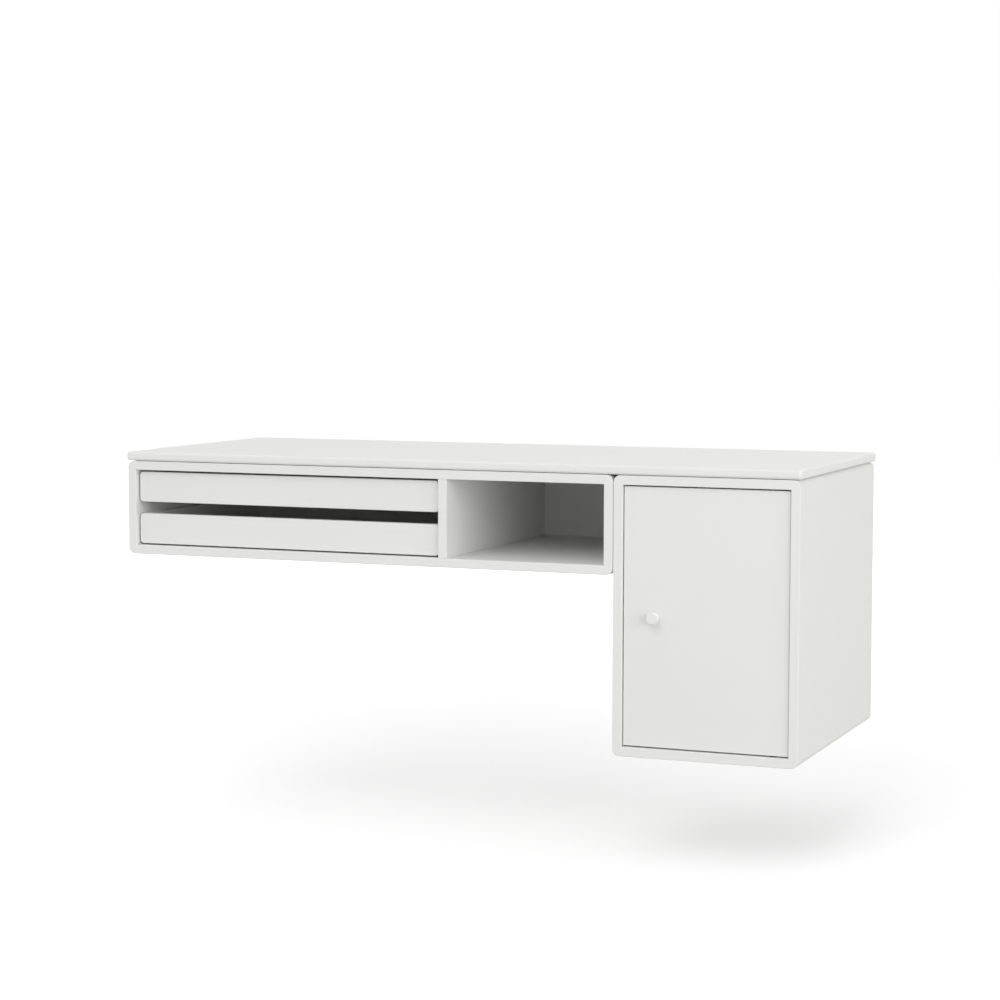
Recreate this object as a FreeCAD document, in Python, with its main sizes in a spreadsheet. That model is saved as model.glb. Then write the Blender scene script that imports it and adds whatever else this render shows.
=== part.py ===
"""Floating wall desk: a low case and a cupboard, hung side by side under one long desktop.

Millimetres. +X runs right as seen from the front, +Y runs into the wall and +Z is up.
The wall is the plane Y = 0, X = 0 is mid-width and Z = 0 is the line of screws in the wall rail.
"""

import FreeCAD
import Part
import Sketcher
import math
import os
from collections import defaultdict

SIZES = {
    # Cases
    "desk_width": 696.0,
    "desk_height": 126.0,
    "cabinet_width": 240.0,
    "cabinet_height": 354.0,
    "case_depth": 380.0,
    "board": 12.0,
    "corner_radius": 9.0,
    "edge_ease": 1.0,
    "seam_gap": 0.6,
    "tray_bay_width": 446.0,
    "rail_drop": 76.0,
    # Backs, mitres and dowels
    "back_board": 6.0,
    "back_recess": 22.0,
    "back_tongue": 5.0,
    "groove_play": 0.1,
    "joint_play": 0.05,
    "spline_thickness": 4.0,
    "spline_width": 10.0,
    "spline_inset": 3.5,
    "spline_margin": 25.0,
    "dowel_radius": 3.0,
    "dowel_length": 20.0,
    "dowel_bite": 8.0,
    "dowel_end_play": 0.4,
    "dowel_margin": 50.0,
    # Desktop
    "desktop_board": 12.0,
    "desktop_overhang": 2.0,
    "desktop_corner": 5.0,
    "desktop_round": 3.5,
    "spacer_height": 0.6,
    "spacer_radius": 8.0,
    "desktop_screw_bite": 7.0,
    "desktop_screw_front": 60.0,
    "desktop_screw_back": 90.0,
    "desktop_screw_side": 80.0,
    # Countersunk wood screws
    "screw_head_radius": 2.8,
    "screw_head_height": 1.8,
    "screw_shank_radius": 1.5,
    "screw_point": 2.0,
    "recess_length": 3.2,
    "recess_width": 0.8,
    "recess_depth": 1.1,
    # Pan head screws
    "pan_head_radius": 4.0,
    "pan_head_height": 2.4,
    "pan_shank_radius": 2.0,
    # Wall rail, hangers and battens
    "rail_end": 6.3,
    "rail_sheet": 2.0,
    "rail_below": 14.0,
    "rail_above": 16.0,
    "rail_lip": 14.0,
    "rail_gap": 4.0,
    "rail_hole_radius": 3.25,
    "rail_hole_end": 30.0,
    "rail_hole_middle": 290.0,
    "rail_hole_inner": 100.0,
    "hook_play": 0.8,
    "hook_reach": 11.0,
    "hanger_stand": 10.0,
    "hanger_margin": 6.0,
    "hanger_end": 20.0,
    "hanger_screw_bite": 8.0,
    "batten_height": 34.0,
    "notch_play": 2.0,
    # Connectors between the cases
    "connector_front": 50.0,
    "connector_back": 80.0,
    "connector_high": 36.0,
    "sleeve_radius": 4.0,
    "sleeve_bore": 3.0,
    "sleeve_head_radius": 6.5,
    "sleeve_head": 2.0,
    "sleeve_short": 2.0,
    "socket_radius": 2.3,
    "socket_depth": 1.4,
    # Trays
    "tray_recess": 7.0,
    "tray_side_gap": 2.2,
    "tray_top_gap": 2.8,
    "tray_bottom_gap": 2.0,
    "tray_spacing": 16.0,
    "tray_front_board": 12.0,
    "tray_corner": 5.0,
    "tray_ease": 1.0,
    "tray_side_board": 10.0,
    "tray_side_lift": 2.0,
    "tray_bottom_board": 4.0,
    "tray_bottom_lift": 5.0,
    "tray_tongue": 4.0,
    "tray_back_gap": 6.0,
    "tray_dowel_radius": 2.0,
    "tray_dowel_length": 20.0,
    "tray_dowel_bite": 8.0,
    "tray_back_bite": 4.0,
    # Tray runners and stops
    "runner_height": 8.0,
    "runner_reach": 5.0,
    "runner_play": 0.3,
    "runner_back_gap": 12.0,
    "runner_screw_bite": 7.0,
    "runner_screw_end": 30.0,
    "stop_length": 10.0,
    "stop_rise": 5.5,
    "stop_thickness": 1.6,
    "peg_radius": 2.4,
    "peg_head": 1.7,
    "peg_shank_radius": 1.5,
    "peg_shank": 7.0,
    "peg_end": 54.0,
    # Door and its pivots
    "door_gap": 1.8,
    "door_side_gap": 1.2,
    "door_recess": 4.0,
    "door_board": 12.0,
    "door_ease": 0.8,
    "pivot_inset": 20.0,
    "pivot_radius": 2.5,
    "pivot_play": 0.05,
    "bush_radius": 3.6,
    "bush_length": 8.0,
    "bush_flange": 0.8,
    "bush_flange_radius": 4.6,
    "collar_radius": 4.0,
    "collar_play": 0.1,
    "pin_end_gap": 1.0,
    "lower_pin_depth": 20.0,
    "upper_pin_head": 3.0,
    "upper_pin_head_radius": 5.0,
    # Knob
    "knob_inset": 40.5,
    "knob_length": 12.0,
    "knob_radius": 8.0,
    "knob_neck_radius": 4.2,
    "knob_foot_radius": 5.5,
    "knob_foot": 1.2,
    "knob_head": 4.5,
    "knob_rim": 1.5,
    "knob_under": 1.0,
    "knob_screw_bite": 7.0,
    "knob_bore_spare": 1.0,
    # Magnetic catch
    "catch_width": 14.0,
    "catch_height": 28.0,
    "catch_depth": 16.0,
    "catch_play": 0.3,
    "ear_height": 9.0,
    "ear_thickness": 3.0,
    "catch_ease": 0.8,
    "magnet_width": 8.0,
    "magnet_height": 20.0,
    "magnet_depth": 10.0,
    "catch_screw_bite": 7.0,
    "strike_thickness": 1.2,
    "strike_width": 12.0,
    "strike_height": 36.0,
    "strike_inset": 1.0,
    "strike_corner": 2.0,
    "strike_screw_bite": 7.0,
    # One overrun for every cut that runs out of a solid
    "overrun": 1.0,
}

# Places along a piece, as shares of its length or height
DIVIDER_DOWEL_SHARES = (0.0, 0.5, 1.0)
BATTEN_DOWEL_SHARES = (0.25, 0.75)
DESK_HANGER_SCREW_SHARES = (0.06, 0.35, 0.65, 0.94)
CABINET_HANGER_SCREW_SHARES = (0.2, 0.8)
TRAY_DOWEL_SHARES = (0.33, 0.84)
RUNNER_SHARE = 0.56
RUNNER_SCREW_SHARES = (0.0, 0.5, 1.0)
STRIKE_SCREW_SHARES = (0.2, 0.8)
PAN_CROWN_SHARE = 0.7
PAN_EDGE_SHARE = 0.45
DIAGONAL_SHARE = math.sqrt(0.5)

TOLERANCE = 1e-4
ORIGIN = FreeCAD.Vector()
UP = FreeCAD.Vector(0, 0, 1)
DOWN = -UP
RIGHT = FreeCAD.Vector(1, 0, 0)
LEFT = -RIGHT
BACKWARDS = FreeCAD.Vector(0, 1, 0)
FORWARDS = -BACKWARDS


class Size:
    """A length that carries its formula on the sheet beside its present value."""

    def __init__(self, formula, value):
        self.formula = formula
        self.value = value

    def __add__(self, other):
        return Size(f"({self.formula} + {other.formula})", self.value + other.value)

    def __sub__(self, other):
        return Size(f"({self.formula} - {other.formula})", self.value - other.value)

    def __neg__(self):
        return Size(f"(-{self.formula})", -self.value)

    def __mul__(self, factor):
        return Size(f"({self.formula} * {factor!r})", self.value * factor)

    def __truediv__(self, divisor):
        return Size(f"({self.formula} / {divisor!r})", self.value / divisor)


class NamedSizes:
    """The sheet's cells as attributes."""

    def __getattr__(self, alias):
        return Size(f"sizes.{alias}", SIZES[alias])


S = NamedSizes()
ZERO = Size("0", 0.0)

doc = FreeCAD.newDocument("floating_wall_desk")
sheet = doc.addObject("Spreadsheet::Sheet", "sizes")
for row, (alias, value) in enumerate(SIZES.items(), start=1):
    sheet.set(f"A{row}", alias)
    sheet.set(f"B{row}", str(value))
    sheet.setAlias(f"B{row}", alias)
doc.recompute()

# Planes that the pieces share
WALL = ZERO
FRONT = -S.case_depth
X_LEFT = -(S.desk_width + S.seam_gap + S.cabinet_width) / 2
X_SEAM = X_LEFT + S.desk_width
X_CABINET = X_SEAM + S.seam_gap
X_RIGHT = X_CABINET + S.cabinet_width
Z_TOP = S.rail_drop
Z_DESK = Z_TOP - S.desk_height
Z_CABINET = Z_TOP - S.cabinet_height
Z_CEILING = Z_TOP - S.board
Y_BACK = -(S.back_recess + S.back_board)
X_BAY = X_LEFT + S.board
X_DIVIDER = X_BAY + S.tray_bay_width

# Finished solids by node, and what is cut from each
BLANKS = {}
CUTS = defaultdict(list)


# Ways of making a solid


def bind(item, prop, size):
    item.setExpression(prop, size.formula)


def place(item, x, y, z):
    bind(item, "Placement.Base.x", x)
    bind(item, "Placement.Base.y", y)
    bind(item, "Placement.Base.z", z)


def between(low, high, share):
    return low + (high - low) * share


def middle(low, high):
    return (low + high) / 2


def box(name, x, y, z):
    """A box between the low and high value given for each axis."""
    solid = doc.addObject("Part::Box", name)
    for prop, (low, high) in zip(("Length", "Width", "Height"), (x, y, z)):
        bind(solid, prop, high - low)
    place(solid, x[0], y[0], z[0])
    return solid


def group(name, items):
    bundle = doc.addObject("Part::Compound", name)
    bundle.Links = items
    return bundle


def joined(name, items):
    if len(items) == 1:
        return items[0]
    union = doc.addObject("Part::MultiFuse", name)
    union.Shapes = items
    return union


def cut(name, base, tools):
    piece = doc.addObject("Part::Cut", name)
    piece.Base = base
    piece.Tool = joined(name + "_tools", tools)
    return piece


def arc_between(centre, start, end):
    """The short arc about a centre, and whether it runs from start to end."""
    first = math.atan2(start.y - centre.y, start.x - centre.x)
    last = math.atan2(end.y - centre.y, end.x - centre.x)
    onwards = (last - first) % math.tau < math.pi
    if not onwards:
        first, last = last, first
    circle = Part.Circle(centre, UP, start.distanceToPoint(centre))
    return Part.ArcOfCircle(circle, first, last), onwards


def trace(sketch, corners, arcs=None):
    """Close an outline through the corners; arcs holds a radius and centre for some stretches."""
    arcs = arcs or {}
    points = [FreeCAD.Vector(x.value, y.value, 0) for x, y in corners]
    ends = []
    for number, start in enumerate(points):
        end = points[(number + 1) % len(points)]
        onwards = True
        if number in arcs:
            x, y = arcs[number][1]
            curve, onwards = arc_between(FreeCAD.Vector(x.value, y.value, 0), start, end)
        else:
            curve = Part.LineSegment(start, end)
        sketch.addGeometry(curve, False)
        ends.append((1, 2) if onwards else (2, 1))
    for number, (x, y) in enumerate(corners):
        following = (number + 1) % len(corners)
        joint = (number, ends[number][1], following, ends[following][0])
        sketch.addConstraint(Sketcher.Constraint("Coincident", *joint))
        for kind, size in (("DistanceX", x), ("DistanceY", y)):
            corner = (-1, 1, number, ends[number][0])
            index = sketch.addConstraint(Sketcher.Constraint(kind, *corner, size.value))
            bind(sketch, f"Constraints[{index}]", size)
    for number, (radius, _) in arcs.items():
        index = sketch.addConstraint(Sketcher.Constraint("Radius", number, radius.value))
        bind(sketch, f"Constraints[{index}]", radius)


def sketched(name, plane):
    """A new body with an empty sketch on one of its origin planes."""
    body = doc.addObject("PartDesign::Body", name)
    sketch = body.newObject("Sketcher::SketchObject", name + "_outline")
    support = next(item for item in body.Origin.OriginFeatures if item.Role == plane)
    sketch.AttachmentSupport = [(support, "")]
    sketch.MapMode = "FlatFace"
    return body, sketch


def extruded(name, plane, span, corners, arcs=None):
    """An outline on a plane, drawn out between two places along the axis square to it."""
    low, high = span
    body, sketch = sketched(name, plane)
    # The XZ plane's normal points forwards, against +Y
    bind(sketch, "AttachmentOffset.Base.z", -high if plane == "XZ_Plane" else low)
    trace(sketch, corners, arcs)
    pad = body.newObject("PartDesign::Pad", name + "_pad")
    pad.Profile = sketch
    bind(pad, "Length", high - low)
    doc.recompute()
    return body


def turned(name, profile):
    """A solid turned about its own Z axis from (radius, height) corners."""
    body, sketch = sketched(name, "XZ_Plane")
    trace(sketch, profile)
    turn = body.newObject("PartDesign::Revolution", name + "_turn")
    turn.Profile = sketch
    turn.ReferenceAxis = (sketch, ["V_Axis"])
    turn.Angle = 360
    doc.recompute()
    return body


def ease(body, radius, chosen):
    """Round the edges of a body that the test chooses."""
    base = body.Tip
    edges = enumerate(base.Shape.Edges, start=1)
    fillet = body.newObject("PartDesign::Fillet", base.Name + "_ease")
    fillet.Base = (base, [f"Edge{number}" for number, edge in edges if chosen(edge)])
    bind(fillet, "Radius", radius)
    doc.recompute()


def rectangle(x, y):
    return [(x[0], y[0]), (x[1], y[0]), (x[1], y[1]), (x[0], y[1])]


def lies_at(edge, axis, size):
    """Whether all of an edge has this value on one axis."""
    box = edge.BoundBox
    low, high = getattr(box, axis + "Min"), getattr(box, axis + "Max")
    return abs(low - size.value) < TOLERANCE and abs(high - size.value) < TOLERANCE


def slants(edge):
    """Whether a straight edge runs across the X and Z directions, as a mitre does."""
    box = edge.BoundBox
    straight = isinstance(edge.Curve, Part.Line)
    return straight and box.XLength > TOLERANCE and box.ZLength > TOLERANCE


def copies(name, master, direction, places):
    """Copies of a piece whose own Z axis is turned to a direction."""
    found = []
    for number, spot in enumerate(places, start=1):
        copy = doc.addObject("App::Link", f"{name}_{number}")
        copy.LinkedObject = master
        copy.Placement = FreeCAD.Placement(ORIGIN, FreeCAD.Rotation(UP, direction))
        place(copy, *spot)
        found.append(copy)
    return found


def keep(node, solid):
    BLANKS[node] = solid


def fasten(node, solid, hole, sets):
    """One group of fasteners; each set names its direction, its places and the pieces it enters."""
    fasteners = []
    for number, (direction, places, entered) in enumerate(sets, start=1):
        name = f"{node}_set{number}"
        fasteners += copies(name, solid, direction, places)
        for other in entered:
            CUTS[other] += copies(f"{name}_in_{other}", hole, direction, places)
    keep(node, group(node + "_group", fasteners))


# Fasteners


def rod(name, radius, low, high):
    return turned(name, [(ZERO, low), (radius, low), (radius, high), (ZERO, high)])


def dowel(name, radius, length, bite):
    """A dowel with its joint plane at Z = 0, and its hole."""
    rest = length - bite
    solid = rod(name, radius, -bite, rest)
    play = S.dowel_end_play
    hole = rod(name + "_hole", radius + S.joint_play, -(bite + play), rest + play)
    return solid, hole


def cross_recess(name, depth):
    """The two crossed slots that a driver fits."""
    long = (-S.recess_length / 2, S.recess_length / 2)
    short = (-S.recess_width / 2, S.recess_width / 2)
    return [box(name + "_slot_x", long, short, depth), box(name + "_slot_y", short, long, depth)]


def wood_screw(name, length):
    """A countersunk screw whose head is flush with Z = 0 and which points along +Z, and its hole."""

    def profile(play):
        head = S.screw_head_radius + play
        shank = S.screw_shank_radius + play
        shoulder = S.screw_head_height + play
        return [(ZERO, ZERO), (head, ZERO), (shank, shoulder)]

    tip = [(S.screw_shank_radius, length - S.screw_point), (ZERO, length)]
    blank = turned(name + "_blank", profile(ZERO) + tip)
    slots = cross_recess(name, (-S.overrun, S.recess_depth))
    end = length + S.joint_play
    drill = [(S.screw_shank_radius + S.joint_play, end), (ZERO, end)]
    hole = turned(name + "_hole", profile(S.joint_play) + drill)
    return cut(name, blank, slots), hole


def pan_screw(name, length):
    """A pan head screw that seats at Z = 0 and points along +Z, and its hole."""
    crown = -S.pan_head_height
    edge = -S.pan_head_height * PAN_EDGE_SHARE
    head = [(ZERO, crown), (S.pan_head_radius * PAN_CROWN_SHARE, crown), (S.pan_head_radius, edge)]
    shank = [(S.pan_shank_radius, ZERO), (S.pan_shank_radius, length), (ZERO, length)]
    blank = turned(name + "_blank", head + [(S.pan_head_radius, ZERO)] + shank)
    slots = cross_recess(name, (crown - S.overrun, crown + S.recess_depth))
    hole = rod(name + "_hole", S.pan_shank_radius + S.joint_play, -S.overrun, length + S.joint_play)
    return cut(name, blank, slots), hole


# Cases


def step(point, direction, size):
    """A point of an outline moved by a size along a unit direction."""
    moved = []
    for value, part in zip(point, direction):
        moved.append(value + size * part if part else value)
    return tuple(moved)


def mitred_board(name, start, end, along):
    """A board between two outer corners of a case, mitred and rounded at both ends."""
    inward = (along[1], -along[0])
    back = (-along[0], -along[1])
    mitre = S.corner_radius * (1 - DIAGONAL_SHARE)

    def corner(point, towards, size):
        return step(step(point, towards, size), inward, size)

    outline = [
        step(start, along, S.corner_radius),
        step(end, back, S.corner_radius),
        corner(end, back, mitre),
        corner(end, back, S.board),
        corner(start, along, S.board),
        corner(start, along, mitre),
    ]
    arcs = {
        1: (S.corner_radius, corner(end, back, S.corner_radius)),
        5: (S.corner_radius, corner(start, along, S.corner_radius)),
    }
    board = extruded(name + "_blank", "XZ_Plane", (FRONT, WALL), outline, arcs)
    ease(board, S.edge_ease, lambda edge: lies_at(edge, "Y", FRONT) and not slants(edge))
    keep(name, board)


def spline(name, corner, inward, play):
    """A loose tongue across one mitre, or its slot when it has play."""
    centre = step(corner, inward, S.board - S.spline_inset)
    deep = (S.spline_thickness / 2 + play) * DIAGONAL_SHARE
    wide = (S.spline_width / 2 + play) * DIAGONAL_SHARE
    sideways = (inward[0], -inward[1])
    outline = []
    for towards, across in ((1, 1), (1, -1), (-1, -1), (-1, 1)):
        outline.append(step(step(centre, inward, deep * towards), sideways, wide * across))
    span = (FRONT + S.spline_margin - play, Y_BACK - S.spline_margin + play)
    return extruded(name, "XZ_Plane", span, outline)


def case(prefix, x0, x1, z0):
    """Four mitred boards round a thin back that sits in their grooves."""
    z1 = Z_TOP
    sides = {
        "top": ((x0, z1), (x1, z1), (1, 0)),
        "right": ((x1, z1), (x1, z0), (0, -1)),
        "bottom": ((x1, z0), (x0, z0), (-1, 0)),
        "left": ((x0, z0), (x0, z1), (0, 1)),
    }
    for side, (start, end, along) in sides.items():
        mitred_board(f"{prefix}_{side}", start, end, along)

    def back(name, play):
        inset = S.board - S.back_tongue - play
        y = (Y_BACK - play, Y_BACK + S.back_board + play)
        return box(name, (x0 + inset, x1 - inset), y, (z0 + inset, z1 - inset))

    keep(f"{prefix}_back", back(f"{prefix}_back_blank", ZERO))
    for side in sides:
        CUTS[f"{prefix}_{side}"].append(back(f"{prefix}_{side}_groove", S.groove_play))

    mitres = {
        ("top", "left"): ((x0, z1), (1, -1)),
        ("top", "right"): ((x1, z1), (-1, -1)),
        ("bottom", "right"): ((x1, z0), (-1, 1)),
        ("bottom", "left"): ((x0, z0), (1, 1)),
    }
    splines = []
    for pair, (corner, inward) in mitres.items():
        name = f"{prefix}_{pair[0]}_{pair[1]}_spline"
        splines.append(spline(name, corner, inward, ZERO))
        for side in pair:
            slot = spline(f"{name}_{side}_slot", corner, inward, S.joint_play)
            CUTS[f"{prefix}_{side}"].append(slot)
    keep(f"{prefix}_splines", group(f"{prefix}_splines_group", splines))


def divider():
    """The upright board between the tray bay and the open bay, on hidden dowels."""
    x = (X_DIVIDER, X_DIVIDER + S.board)
    z = (Z_DESK + S.board, Z_CEILING)
    board = extruded("divider_blank", "XZ_Plane", (FRONT, Y_BACK), rectangle(x, z))
    upright = [(x[0], FRONT), (x[1], FRONT)]
    ease(board, S.edge_ease, lambda edge: any(is_upright(edge, *spot) for spot in upright))
    keep("desk_case_divider", board)

    solid, hole = dowel("divider_dowel", S.dowel_radius, S.dowel_length, S.dowel_bite)
    ends = (FRONT + S.dowel_margin, Y_BACK - S.dowel_margin)
    rows = [between(*ends, share) for share in DIVIDER_DOWEL_SHARES]
    sets = []
    for height, direction, board in ((z[1], DOWN, "desk_case_top"), (z[0], UP, "desk_case_bottom")):
        places = [(middle(*x), y, height) for y in rows]
        sets.append((direction, places, [board, "desk_case_divider"]))
    fasten("divider_dowels", solid, hole, sets)


def is_upright(edge, x, y):
    return lies_at(edge, "X", x) and lies_at(edge, "Y", y)


def connectors():
    """Sleeve nuts in the cupboard's side, their screws from the open bay, and washers between the cases."""
    reach = S.board * 2 + S.seam_gap
    head = S.sleeve_head
    barrel = reach - S.sleeve_short
    sleeve = turned(
        "connector_sleeve",
        [
            (ZERO, -head),
            (S.sleeve_head_radius, -head),
            (S.sleeve_head_radius, ZERO),
            (S.sleeve_radius, ZERO),
            (S.sleeve_radius, barrel),
            (S.sleeve_bore, barrel),
            (S.sleeve_bore, ZERO),
            (ZERO, ZERO),
        ],
    )
    shank = S.sleeve_bore - S.joint_play
    blank = turned(
        "connector_screw_blank",
        [
            (ZERO, -head),
            (S.sleeve_head_radius, -head),
            (S.sleeve_head_radius, ZERO),
            (shank, ZERO),
            (shank, barrel),
            (ZERO, barrel),
        ],
    )
    socket = doc.addObject("Part::Prism", "connector_socket")
    socket.Polygon = 6
    bind(socket, "Circumradius", S.socket_radius)
    bind(socket, "Height", S.socket_depth + S.overrun)
    place(socket, ZERO, ZERO, -(head + S.overrun))
    screw = cut("connector_screw", blank, [socket])
    hole = rod("connector_hole", S.sleeve_radius + S.joint_play, -S.overrun, reach + S.overrun)

    sides = ["desk_case_right", "cabinet_left"]
    depths = (FRONT + S.connector_front, WALL - S.connector_back)
    heights = (Z_TOP - S.connector_high, Z_DESK + S.connector_high)
    spots = [(y, z) for y in depths for z in heights]
    in_cabinet = [(X_CABINET + S.board, y, z) for y, z in spots]
    in_desk = [(X_SEAM - S.board, y, z) for y, z in spots]
    fasten("connector_sleeves", sleeve, hole, [(LEFT, in_cabinet, sides)])
    fasten("connector_screws", screw, hole, [(RIGHT, in_desk, [])])

    ring = rectangle((S.sleeve_radius + S.joint_play, S.spacer_radius), (ZERO, S.seam_gap))
    on_seam = [(X_SEAM, y, z) for y, z in spots]
    washers = copies("seam_spacer", turned("seam_spacer_master", ring), RIGHT, on_seam)
    keep("seam_spacers", group("seam_spacers_group", washers))


# Desktop


def desktop():
    """The long panel over both cases, held just clear of them by thin washers."""
    x = (X_LEFT - S.desktop_overhang, X_RIGHT + S.desktop_overhang)
    y = (FRONT - S.desktop_overhang, WALL)
    z = (Z_TOP + S.spacer_height, Z_TOP + S.spacer_height + S.desktop_board)
    panel = extruded("desktop_blank", "XY_Plane", z, rectangle(x, y))
    ease(panel, S.desktop_corner, lambda edge: any(is_upright(edge, side, y[0]) for side in x))

    def rim(edge):
        level = any(lies_at(edge, "Z", height) for height in z)
        return level and not lies_at(edge, "Y", WALL)

    ease(panel, S.desktop_round, rim)
    keep("desktop", panel)

    length = S.board + S.spacer_height + S.desktop_screw_bite
    solid, hole = wood_screw("desktop_screw", length)
    desk_columns = [
        X_BAY + S.desktop_screw_side,
        X_DIVIDER - S.desktop_screw_side,
        middle(X_DIVIDER + S.board, X_SEAM - S.board),
    ]
    rows = (FRONT + S.desktop_screw_front, WALL - S.desktop_screw_back)
    in_desk = [(column, row, Z_CEILING) for column in desk_columns for row in rows]
    in_cabinet = [(middle(X_CABINET, X_RIGHT), row, Z_CEILING) for row in rows]
    sets = [
        (UP, in_desk, ["desk_case_top", "desktop"]),
        (UP, in_cabinet, ["cabinet_top", "desktop"]),
    ]
    fasten("desktop_screws", solid, hole, sets)

    bore = S.screw_shank_radius + S.joint_play
    ring = rectangle((bore, S.spacer_radius), (ZERO, S.spacer_height))
    spots = [(column, row, Z_TOP) for column, row, _ in in_desk + in_cabinet]
    washers = copies("desktop_spacer", turned("desktop_spacer_master", ring), UP, spots)
    keep("desktop_spacers", group("desktop_spacers_group", washers))


# Wall fixing


def folded(name, span, profile, outer, inner):
    """A strip of sheet, rounded at the corners of its profile that lie outside and inside its folds."""
    strip = extruded(name, "YZ_Plane", span, profile)
    # The lip seats flat, because the inner radius is no larger than the play beside it
    for corners, radius in ((outer, S.hook_play + S.rail_sheet), (inner, S.hook_play)):
        places = [profile[number] for number in corners]
        ease(strip, radius, lambda edge, places=places: any(is_level(edge, *spot) for spot in places))
    return strip


def is_level(edge, y, z):
    return lies_at(edge, "Y", y) and lies_at(edge, "Z", z)


def wall_fixing():
    """A folded rail on the wall, and a folded hanger on a batten behind each case's back."""
    gauge = S.rail_sheet
    shelf = S.rail_above
    lip_top = shelf + S.rail_lip
    lip_back = -S.rail_gap
    rail_ends = (X_LEFT + S.board + S.rail_end, X_RIGHT - S.board - S.rail_end)
    profile = [
        (WALL, -S.rail_below),
        (WALL, shelf),
        (lip_back, shelf),
        (lip_back, lip_top),
        (lip_back - gauge, lip_top),
        (lip_back - gauge, shelf - gauge),
        (-gauge, shelf - gauge),
        (-gauge, -S.rail_below),
    ]
    keep("wall_rail", folded("wall_rail_blank", rail_ends, profile, [1, 5], [2, 6]))
    drill = rod("rail_hole", S.rail_hole_radius, -S.overrun, gauge + S.overrun)
    outer = rail_ends[1] - S.rail_hole_end
    holes = []
    for offset in (outer, S.rail_hole_middle, S.rail_hole_inner):
        holes += [(-offset, WALL, ZERO), (offset, WALL, ZERO)]
    CUTS["wall_rail"] += copies("wall_rail_hole", drill, FORWARDS, holes)

    # The rail runs on through the two sides that meet
    notch_y = (lip_back - gauge - S.notch_play, WALL + S.overrun)
    notch_z = (-(S.rail_below + S.notch_play), lip_top + S.notch_play)
    for node, x in (("desk_case_right", X_SEAM - S.board), ("cabinet_left", X_CABINET)):
        notch_x = (x - S.overrun, x + S.board + S.overrun)
        CUTS[node].append(box(f"{node}_notch", notch_x, notch_y, notch_z))

    solid, hole = pan_screw("hanger_screw", gauge + S.hanger_screw_bite)
    pin, pin_hole = dowel("batten_dowel", S.dowel_radius, S.dowel_length, S.dowel_bite)
    spans = {
        "desk": (X_LEFT + S.board, X_SEAM - S.board, "desk_case", DESK_HANGER_SCREW_SHARES),
        "cabinet": (X_CABINET + S.board, X_RIGHT - S.board, "cabinet", CABINET_HANGER_SCREW_SHARES),
    }
    screw_sets = []
    dowel_sets = []
    plate = -S.hanger_stand
    hook = lip_back + S.hook_play
    crest = Z_CEILING - S.hanger_margin
    for prefix, (x0, x1, sides, shares) in spans.items():
        batten_y = (-S.back_recess, plate)
        batten_z = (Z_CEILING - S.batten_height, Z_CEILING)
        batten = f"{prefix}_batten"
        keep(batten, box(f"{batten}_blank", (x0, x1), batten_y, batten_z))
        hanger_x = (x0 + S.hanger_end, x1 - S.hanger_end)
        profile = [
            (plate, crest),
            (plate, lip_top),
            (hook, lip_top),
            (hook, lip_top - S.hook_reach),
            (hook + gauge, lip_top - S.hook_reach),
            (hook + gauge, lip_top + gauge),
            (plate + gauge, lip_top + gauge),
            (plate + gauge, crest),
        ]
        hanger = f"{prefix}_hanger"
        keep(hanger, folded(f"{hanger}_blank", hanger_x, profile, [1, 5], [2, 6]))
        screw_z = middle(lip_top + gauge, crest)
        spots = [(between(*hanger_x, share), plate + gauge, screw_z) for share in shares]
        screw_sets.append((FORWARDS, spots, [hanger, batten]))
        heights = [between(*batten_z, share) for share in BATTEN_DOWEL_SHARES]
        for x, direction, side in ((x0, RIGHT, "left"), (x1, LEFT, "right")):
            spots = [(x, middle(*batten_y), z) for z in heights]
            dowel_sets.append((direction, spots, [batten, f"{sides}_{side}"]))
    fasten("hanger_screws", solid, hole, screw_sets)
    fasten("batten_dowels", pin, pin_hole, dowel_sets)


# Trays

TRAY_FRONT = FRONT + S.tray_recess
TRAY_SIDE_FRONT = TRAY_FRONT + S.tray_front_board
TRAY_END = Y_BACK - S.tray_back_gap
TRAY_X = (X_BAY + S.tray_side_gap, X_DIVIDER - S.tray_side_gap)
TRAY_ROOM = S.desk_height - S.board * 2 - S.tray_top_gap - S.tray_bottom_gap
TRAY_HEIGHT = (TRAY_ROOM - S.tray_spacing) / 2
Z_LOWER_TRAY = Z_DESK + S.board + S.tray_bottom_gap
Z_UPPER_TRAY = Z_LOWER_TRAY + TRAY_HEIGHT + S.tray_spacing


def runner_heights(z):
    centre = z + TRAY_HEIGHT * RUNNER_SHARE
    return centre - S.runner_height / 2, centre + S.runner_height / 2


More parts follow.
